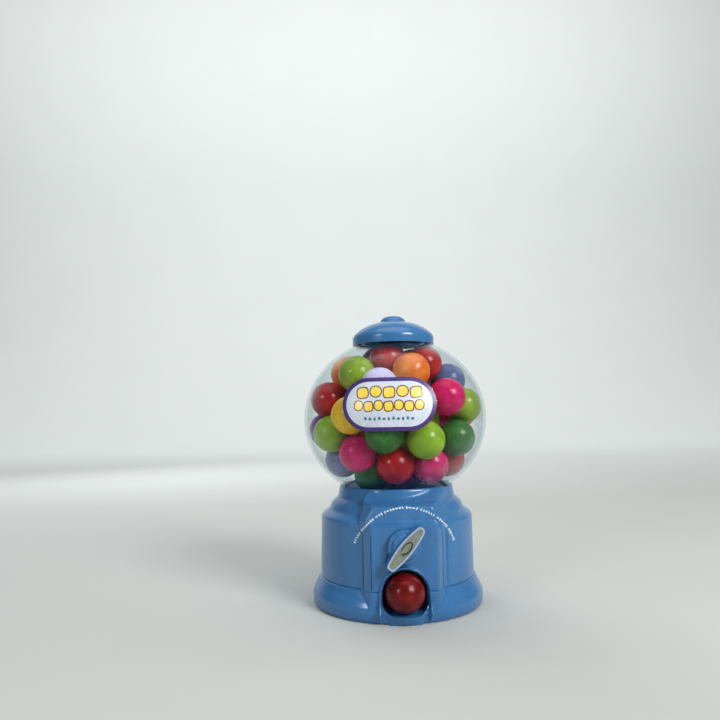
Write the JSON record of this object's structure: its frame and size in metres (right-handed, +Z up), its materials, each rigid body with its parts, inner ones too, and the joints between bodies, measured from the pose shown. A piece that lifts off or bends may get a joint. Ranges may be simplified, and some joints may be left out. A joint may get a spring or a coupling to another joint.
{
  "type": "gumball machine",
  "caption": "Mini gumball machine: flared round base with a turn knob and chute, clear globe full of gumballs, lift-off lid.",
  "frame": {"origin": "centre of the underside, on the surface the machine stands on", "axes": "+Z up through the lid, -Y towards the chute and knob, +X to the viewer's right"},
  "size_m": [0.0894, 0.0925, 0.1402],
  "materials": {
    "blue_plastic": "glossy moulded",
    "blue_dark_plastic": "satin moulded",
    "inner_plastic": "satin moulded",
    "white_plastic": "satin moulded",
    "clear_plastic": "clear polished",
    "screw_steel": "zinc plated",
    "shaft_steel": "turned",
    "label_print": "printed film",
    "knob_label_print": "printed film",
    "gum_red": "candy shell",
    "gum_orange": "candy shell",
    "gum_yellow": "candy shell",
    "gum_lime": "candy shell",
    "gum_green": "candy shell",
    "gum_pink": "candy shell",
    "gum_white": "candy shell",
    "gum_blue": "candy shell",
    "gum_purple": "candy shell"
  },
  "bodies": {
    "base": {"base_shell": "blue_plastic", "bottom_cover": "blue_dark_plastic", "bottom_screws": "screw_steel", "globe": "clear_plastic", "globe_label": "label_print", "hopper_plate": "inner_plastic", "hopper_screws": "screw_steel", "dispenser_housing": "white_plastic", "housing_screws": "screw_steel", "shaft_bush": "white_plastic", "chute_ramp": "inner_plastic", "gumballs_red": "gum_red", "gumballs_orange": "gum_orange", "gumballs_yellow": "gum_yellow", "gumballs_lime": "gum_lime", "gumballs_green": "gum_green", "gumballs_pink": "gum_pink", "gumballs_white": "gum_white", "gumballs_blue": "gum_blue", "gumballs_purple": "gum_purple"},
    "dispenser": {"knob": "blue_plastic", "knob_label": "knob_label_print", "knob_screw": "screw_steel", "knob_shaft": "shaft_steel", "retaining_clip": "shaft_steel", "rotor_cup": "white_plastic"},
    "lid": {"lid": "blue_plastic"},
    "dispensed_ball": {"dispensed_gumball": "gum_red"}
  },
  "joints": [
    {"name": "knob_turn", "type": "hinge", "parent": "base", "child": "dispenser", "pos_m": [0, -0.0135, 0.0338], "axis": [0, 1, 0], "continuous": true},
    {"name": "lid_lift", "type": "slide", "parent": "base", "child": "lid", "axis": [0, 0, 1], "range_m": [0, 0.035]},
    {"name": "gumball_out", "type": "slide", "parent": "base", "child": "dispensed_ball", "axis": [0, -0.9744, 0.225], "range_m": [0, 0.025]}
  ]
}
